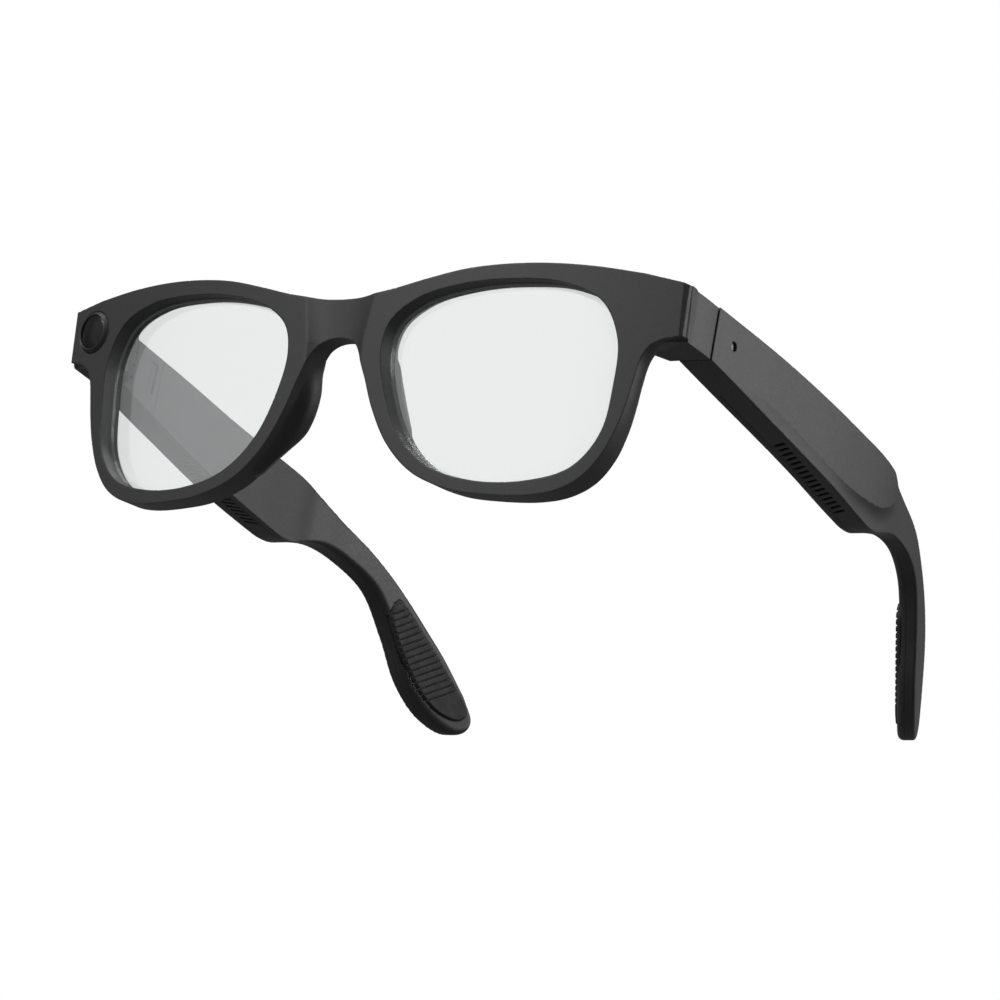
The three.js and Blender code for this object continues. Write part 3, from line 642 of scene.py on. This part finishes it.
def grip_field(x, y, z):
    """The ribbed rubber pad: flat bars on a thin base, and one long plain bar at the low end."""
    along = (y - GRIP_FROM[0]) * RIB_STEP[0] + (z - GRIP_FROM[1]) * RIB_STEP[1]
    rib = np.clip(np.round((along - RIB_FIRST) / RIB_PITCH), 0, RIB_COUNT - 1)
    bar = np.abs(along - RIB_FIRST - rib * RIB_PITCH) - RIB_PITCH / 2 + RIB_GROOVE_HALF
    last = RIB_FIRST + (RIB_COUNT - 0.5) * RIB_PITCH + RIB_GROOVE_HALF
    bar = np.minimum(bar, last - along)
    inner = inner_face(y)
    outline = grip_outline(y, z)
    ribs = both(both(outline + RIB_INSET, bar, RIB_ROUND), inner - GRIP_PROUD - x, RIB_TOP_ROUND)
    base = both(outline, inner - GRIP_BASE_PROUD - x, 0.1)
    return np.maximum(np.minimum(ribs, base), x - inner - GRIP_PROUD)


def button_field(x, y, z):
    """A pill-shaped cap on a slightly wider skirt that stays under the shell."""
    pill = button_pill(x, y)
    top = z - top_line(BUTTON_Y) - BUTTON_PROUD
    cap = both(pill, top, 0.35)
    skirt = np.maximum(pill - 0.3, z - top_line(BUTTON_Y) + WALL + 0.3)
    return np.maximum(np.minimum(cap, skirt), top_line(BUTTON_Y) - WALL - 0.9 - z)


def arm_pieces(side):
    """Shell, cover and grip of one arm. The grids are finest at the hinge, the slots and the ribs."""
    mirror = side == "right"
    shell_back = steps(
        (16.5, 23, 0.35), (23, 29, 0.6), (29, 32, 0.4), (32, 50, 0.7), (50, 82.5, 0.3), (82.5, 158.5, 0.5),
    )
    shell_grid = (steps((54, 66, 0.5), (66, 79.5, 0.35)), shell_back, steps((-1, 24, 0.5), (24, 46, 0.4)))
    cover_back = steps((30, 33, 0.3), (33, 118, 0.7), (118, 158.5, 0.45))
    cover_grid = (steps((53.5, 79, 0.45)), cover_back, steps((-1, 46, 0.5)))
    grip_grid = (steps((54, 67, 0.3)), steps((129, 158, 0.22)), steps((2, 28, 0.22)))
    return {
        "shell": sculpted(f"shell_{side}", shell_field(side), shell_grid, UPRIGHT, mirror),
        "cover": sculpted(f"cover_{side}", cover_field, cover_grid, UPRIGHT, mirror),
        "grip": sculpted(f"grip_{side}", grip_field, grip_grid, UPRIGHT, mirror),
    }


# ---- Materials --------------------------------------------------------------------------------------
class Nodes:
    """A material's nodes, with short ways to add and join them."""

    def __init__(self, name):
        self.material = bpy.data.materials.new(name)
        self.material.use_nodes = True
        self.tree = self.material.node_tree
        self.shader = self.tree.nodes["Principled BSDF"]

    def add(self, kind, **settings):
        node = self.tree.nodes.new(kind)
        for key, value in settings.items():
            if key in node.inputs:
                node.inputs[key].default_value = value
            else:
                setattr(node, key, value)
        return node

    def link(self, source, target):
        self.tree.links.new(source, target)

    def set(self, **values):
        for key, value in values.items():
            self.shader.inputs[key.replace("_", " ")].default_value = value

    def noise(self, scale, detail=2.0, roughness=0.5):
        where = self.add("ShaderNodeTexCoord")
        noise = self.add("ShaderNodeTexNoise", Scale=scale, Detail=detail, Roughness=roughness)
        self.link(where.outputs["Object"], noise.inputs["Vector"])
        return noise.outputs["Fac"]

    def spread(self, source, low, high):
        """The source's middle range mapped to low..high."""
        ramp = self.add("ShaderNodeMapRange")
        ramp.inputs["From Min"].default_value = 0.3
        ramp.inputs["From Max"].default_value = 0.7
        ramp.inputs["To Min"].default_value = low
        ramp.inputs["To Max"].default_value = high
        self.link(source, ramp.inputs["Value"])
        return ramp.outputs["Result"]

    def colours(self, source, dark, light):
        ramp = self.add("ShaderNodeValToRGB")
        ramp.color_ramp.elements[0].position = 0.3
        ramp.color_ramp.elements[0].color = (*dark, 1)
        ramp.color_ramp.elements[1].position = 0.7
        ramp.color_ramp.elements[1].color = (*light, 1)
        self.link(source, ramp.inputs["Fac"])
        self.link(ramp.outputs["Color"], self.shader.inputs["Base Color"])

    def bump(self, source, strength, distance, edge=0.0):
        """Fine relief, over edges that look rounded to a radius when one is given."""
        bump = self.add("ShaderNodeBump", Strength=strength, Distance=distance)
        if edge:
            bevel = self.add("ShaderNodeBevel", Radius=edge)
            self.link(bevel.outputs["Normal"], bump.inputs["Normal"])
        self.link(source, bump.inputs["Height"])
        self.link(bump.outputs["Normal"], self.shader.inputs["Normal"])


def moulded_plastic():
    """Soft-touch black nylon: a fine even grain, and a satin sheen that varies slightly."""
    m = Nodes("soft_black_plastic")
    m.colours(m.noise(2600, 3), (0.0125, 0.0125, 0.013), (0.0185, 0.0185, 0.019))
    m.link(m.spread(m.noise(1900, 3), 0.43, 0.51), m.shader.inputs["Roughness"])
    m.bump(m.noise(3600, 2, 0.6), 0.5, 0.00003, 0.0004)
    return m.material


def ribbed_rubber():
    """Matt black rubber, a little duller than the plastic."""
    m = Nodes("black_rubber")
    m.colours(m.noise(300, 3), (0.010, 0.010, 0.0105), (0.015, 0.015, 0.0155))
    m.link(m.spread(m.noise(500, 3), 0.62, 0.74), m.shader.inputs["Roughness"])
    m.bump(m.noise(6500, 2), 0.3, 0.00003)
    return m.material


def clear_lens():
    """A coated lens: mostly see-through, with a pale reflection over it."""
    m = Nodes("coated_lens")
    see = m.add("ShaderNodeBsdfTransparent", Color=(0.965, 0.975, 0.972, 1))
    shine = m.add("ShaderNodeBsdfGlossy", Color=(0.95, 0.96, 0.97, 1), Roughness=0.1)
    mix = m.add("ShaderNodeMixShader")
    facing = m.add("ShaderNodeLayerWeight", Blend=0.22)
    amount = m.add("ShaderNodeMapRange")
    amount.inputs["To Min"].default_value = 0.17
    amount.inputs["To Max"].default_value = 0.45
    m.link(facing.outputs["Facing"], amount.inputs["Value"])
    m.link(amount.outputs["Result"], mix.inputs["Fac"])
    m.link(see.outputs["BSDF"], mix.inputs[1])
    m.link(shine.outputs["BSDF"], mix.inputs[2])
    m.link(mix.outputs["Shader"], m.tree.nodes["Material Output"].inputs["Surface"])
    m.tree.nodes.remove(m.shader)
    return m.material


def bevel_paint(name, dark, light, roughness):
    """The lens's bevels: pale in front, a painted highlight along the lens edge, and dark behind, painted
    shade where the groove shows.
    """
    m = Nodes(name)
    m.colours(m.noise(800, 2), dark, light)
    m.link(m.spread(m.noise(900, 2), roughness * 0.9, roughness * 1.1), m.shader.inputs["Roughness"])
    return m.material


def plain(name, dark, light, roughness, metallic=0.0, grain=600, coat=0.0, bump=0.15):
    """A material with a fine grain in its colour and height."""
    m = Nodes(name)
    m.colours(m.noise(grain, 3), dark, light)
    m.link(m.spread(m.noise(grain / 2, 3), roughness * 0.85, roughness * 1.15), m.shader.inputs["Roughness"])
    m.set(Metallic=metallic, Coat_Weight=coat)
    m.bump(m.noise(grain * 4, 2), bump, 0.00002)
    return m.material


def camera_glass():
    """Smoked cover glass, half see-through and half dark surface."""
    m = Nodes("smoked_glass")
    see = m.add("ShaderNodeBsdfTransparent", Color=(0.55, 0.56, 0.62, 1))
    m.set(Base_Color=(0.009, 0.009, 0.010, 1), Roughness=0.16)
    mix = m.add("ShaderNodeMixShader", Fac=0.55)
    m.link(see.outputs["BSDF"], mix.inputs[1])
    m.link(m.shader.outputs["BSDF"], mix.inputs[2])
    m.link(mix.outputs["Shader"], m.tree.nodes["Material Output"].inputs["Surface"])
    return m.material


plastic = moulded_plastic()
rubber = ribbed_rubber()
lens_glass = clear_lens()
# Pale grey painted on the lens's front bevel as the highlight along its edge.
bevel_highlight_paint = bevel_paint("lens_front_bevel", (0.42, 0.42, 0.425), (0.55, 0.55, 0.555), 0.7)
# Near black painted on the lens's edge band and back bevel as the shade in the rim's groove.
groove_shade_paint = bevel_paint("lens_back_bevel", (0.012, 0.012, 0.0125), (0.02, 0.02, 0.021), 0.4)
smoked = camera_glass()
steel = plain("dark_nickel_steel", (0.03, 0.03, 0.031), (0.05, 0.05, 0.051), 0.5, 1.0)
tin = plain("tinned_can", (0.48, 0.48, 0.47), (0.58, 0.58, 0.57), 0.32, 1.0)
laminate = plain("green_laminate", (0.008, 0.055, 0.024), (0.013, 0.085, 0.036), 0.38, 0.0, 900, 0.4)
flex = plain("amber_flex", (0.30, 0.12, 0.025), (0.42, 0.18, 0.045), 0.4, 0.0, 700, 0.3)
foil = plain("pouch_foil", (0.52, 0.53, 0.55), (0.64, 0.65, 0.67), 0.4, 0.85, 250)
speaker_box = plain("speaker_box", (0.012, 0.012, 0.013), (0.018, 0.018, 0.019), 0.6)
mesh_metal = plain("woven_mesh", (0.10, 0.10, 0.10), (0.5, 0.5, 0.5), 0.45, 0.5, 2600, 0.0, 0.6)
lens_coating = plain("blue_coated_lens", (0.16, 0.18, 0.30), (0.26, 0.28, 0.42), 0.12, 0.0, 300, 1.0, 0.02)

# ---- The pieces in place ----------------------------------------------------------------------------
finished(front_piece(), "front", ["front_frame"], plastic)
for side, sign in (("left", 1), ("right", -1)):
    lens = lens_piece(f"clear_lens_{side}", sign)
    piece = finished(lens, "front", [f"lens_{side}"], lens_glass)
    # Slot 1: the front bevel's painted highlight.
    piece.data.materials.append(bevel_highlight_paint)
    # Slot 2: the edge band and back bevel's painted groove shade.
    piece.data.materials.append(groove_shade_paint)
    arm = arm_pieces(side)
    finished(arm["shell"], f"arm_{side}", [f"arm_shell_{side}"], plastic)
    finished(arm["cover"], f"arm_{side}", [f"arm_cover_{side}"], plastic)
    finished(arm["grip"], f"arm_{side}", [f"tip_grip_{side}"], rubber)

button_grid = (steps((71, 76, 0.2)), steps((33.5, 44.5, 0.2)), steps((40, 45, 0.15)))
button = sculpted("button_cap", button_field, button_grid, UPRIGHT, mirror=True)
finished(button, "capture_button", ["capture_button"], plastic)

camera_place = LEANING @ Matrix.Translation((CAMERA_X, WRAP * CAMERA_X**2, CAMERA_Z))
camera_place = camera_place @ Matrix.Rotation(-WRAP_SLOPE, 4, "Z")
ring_profile = [
    (3.0, 2.0), (3.0, 0.75), (3.7, 0.75), (3.7, -0.62), (3.74, -0.68),
    *rounded_corner((3.84, -0.59), 0.15, 270, 325),
    *rounded_corner((4.4, 0.12), 0.15, 325, 360), (BEZEL_RADIUS, 2.0), (3.0, 2.0),
]
ring = turned("camera_ring", ring_profile, camera_place)
finished(ring, "front", ["camera_bezel"], plastic)
glass_profile = [
    (0.001, 0.45), (WINDOW_RADIUS, 0.45), (WINDOW_RADIUS, -0.52), (WINDOW_RADIUS - 0.1, -0.6), (0.001, -0.6),
]
glass = turned("camera_glass_disc", glass_profile, camera_place)
finished(glass, "front", ["camera_window"], smoked)

CAD_MATERIALS = {
    "hinge_front_leaf": steel, "hinge_arm_leaf": steel, "hinge_pin": steel, "speaker": speaker_box,
    "speaker_grille": mesh_metal, "battery": foil, "circuit_board": laminate, "chip_shield": tin,
    "power_flex": flex, "touch_strip": flex, "microphone": tin, "microphone_mesh": mesh_metal,
    "camera_lens": lens_coating, "camera_module": laminate, "camera_flex": flex, "button_switch": tin,
}
for name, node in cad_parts.items():
    kind = name.replace("_left", "").replace("_right", "")
    if kind in CAD_MATERIALS:
        node.data.materials.clear()
        node.data.materials.append(CAD_MATERIALS[kind])

# ---- Camera, floor and light --------------------------------------------------------------------------
camera_data = bpy.data.cameras.new("view")
camera_data.lens = 158.9
camera_data.sensor_width = 36.0
camera_data.clip_start = 0.05
camera = bpy.data.objects.new("view", camera_data)
camera_axes = Matrix((
    (0.853605, 0.018182, 0.520603), (0.491089, -0.361432, -0.792590), (0.173752, 0.932222, -0.317449),
))
camera.matrix_world = Matrix.Translation((0.49184, -0.75871, -0.27559)) @ camera_axes.to_4x4()
bpy.context.scene.collection.objects.link(camera)
bpy.context.scene.camera = camera
bpy.context.scene.view_settings.view_transform = "Standard"

FLOOR_Z = -0.45                # in metres, well below the glasses
FLOOR_HALF = 6000              # in millimetres


def floor():
    """A pale ground that is seen but throws no light back onto the glasses."""
    half = FLOOR_HALF
    vertices = [(-half, -half, 0), (half, -half, 0), (half, half, 0), (-half, half, 0)]
    place = Matrix.Translation((0, 0, FLOOR_Z)) @ Matrix.Scale(MM, 4)
    piece = mesh_object("floor", vertices, [(0, 1, 2, 3)], place)
    m = Nodes("pale_floor")
    m.colours(m.noise(3, 2), (0.60, 0.60, 0.60), (0.62, 0.62, 0.62))
    m.set(Roughness=0.9, Emission_Color=(1, 1, 1, 1), Emission_Strength=0.35)
    piece.data.materials.append(m.material)
    piece.visible_diffuse = False
    piece.visible_glossy = False
    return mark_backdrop(piece)


def softbox(name, position, size, power):
    """A rectangular light turned to the glasses, which the camera doesn't see."""
    data = bpy.data.lights.new(name, "AREA")
    data.shape = "RECTANGLE"
    data.size, data.size_y = size
    data.energy = power
    light = bpy.data.objects.new(name, data)
    light.location = position
    light.rotation_euler = (Vector((0, 0, 0.02)) - Vector(position)).to_track_quat("-Z", "Y").to_euler()
    light.visible_camera = False
    bpy.context.scene.collection.objects.link(light)


floor()
softbox("front_soft", position=(-0.35, -1.15, 0.85), size=(0.7, 0.7), power=15)
softbox("side_soft", position=(1.15, 0.75, 0.5), size=(0.9, 0.9), power=9)
softbox("top_soft", position=(0.0, 0.1, 1.2), size=(1.0, 1.0), power=12)

BRIGHT_SIDE = (-0.52, -0.84, 0.12)     # where the studio's pale wall stands, seen in the lenses


def eased(tree, start, end, low, high):
    """A node that eases from low to high as its value goes from start to end."""
    node = tree.nodes.new("ShaderNodeMapRange")
    node.interpolation_type = "SMOOTHSTEP"
    for socket, value in (("From Min", start), ("From Max", end), ("To Min", low), ("To Max", high)):
        node.inputs[socket].default_value = value
    return node


def surroundings():
    """White to look at; as light, a dim studio with one pale wall."""
    world = bpy.data.worlds.new("studio")
    world.use_nodes = True
    bpy.context.scene.world = world
    tree = world.node_tree
    background = tree.nodes["Background"]
    where = tree.nodes.new("ShaderNodeTexCoord")
    towards = tree.nodes.new("ShaderNodeVectorMath")
    towards.operation = "DOT_PRODUCT"
    towards.inputs[1].default_value = BRIGHT_SIDE
    wall = eased(tree, 0.72, 0.95, 0.0, 0.5)
    split = tree.nodes.new("ShaderNodeSeparateXYZ")
    height = eased(tree, -0.3, 0.4, 0.17, 0.24)
    total = tree.nodes.new("ShaderNodeMath")
    path = tree.nodes.new("ShaderNodeLightPath")
    seen = tree.nodes.new("ShaderNodeMapRange")
    seen.inputs["To Max"].default_value = 1.0
    tree.links.new(where.outputs["Generated"], towards.inputs[0])
    tree.links.new(towards.outputs["Value"], wall.inputs["Value"])
    tree.links.new(path.outputs["Is Camera Ray"], seen.inputs["Value"])
    tree.links.new(where.outputs["Generated"], split.inputs["Vector"])
    tree.links.new(split.outputs["Z"], height.inputs["Value"])
    tree.links.new(wall.outputs["Result"], total.inputs[0])
    tree.links.new(height.outputs["Result"], total.inputs[1])
    tree.links.new(total.outputs["Value"], seen.inputs["To Min"])
    tree.links.new(seen.outputs["Result"], background.inputs["Strength"])
    background.inputs["Color"].default_value = (1, 1, 1, 1)


surroundings()
bpy.context.view_layer.update()
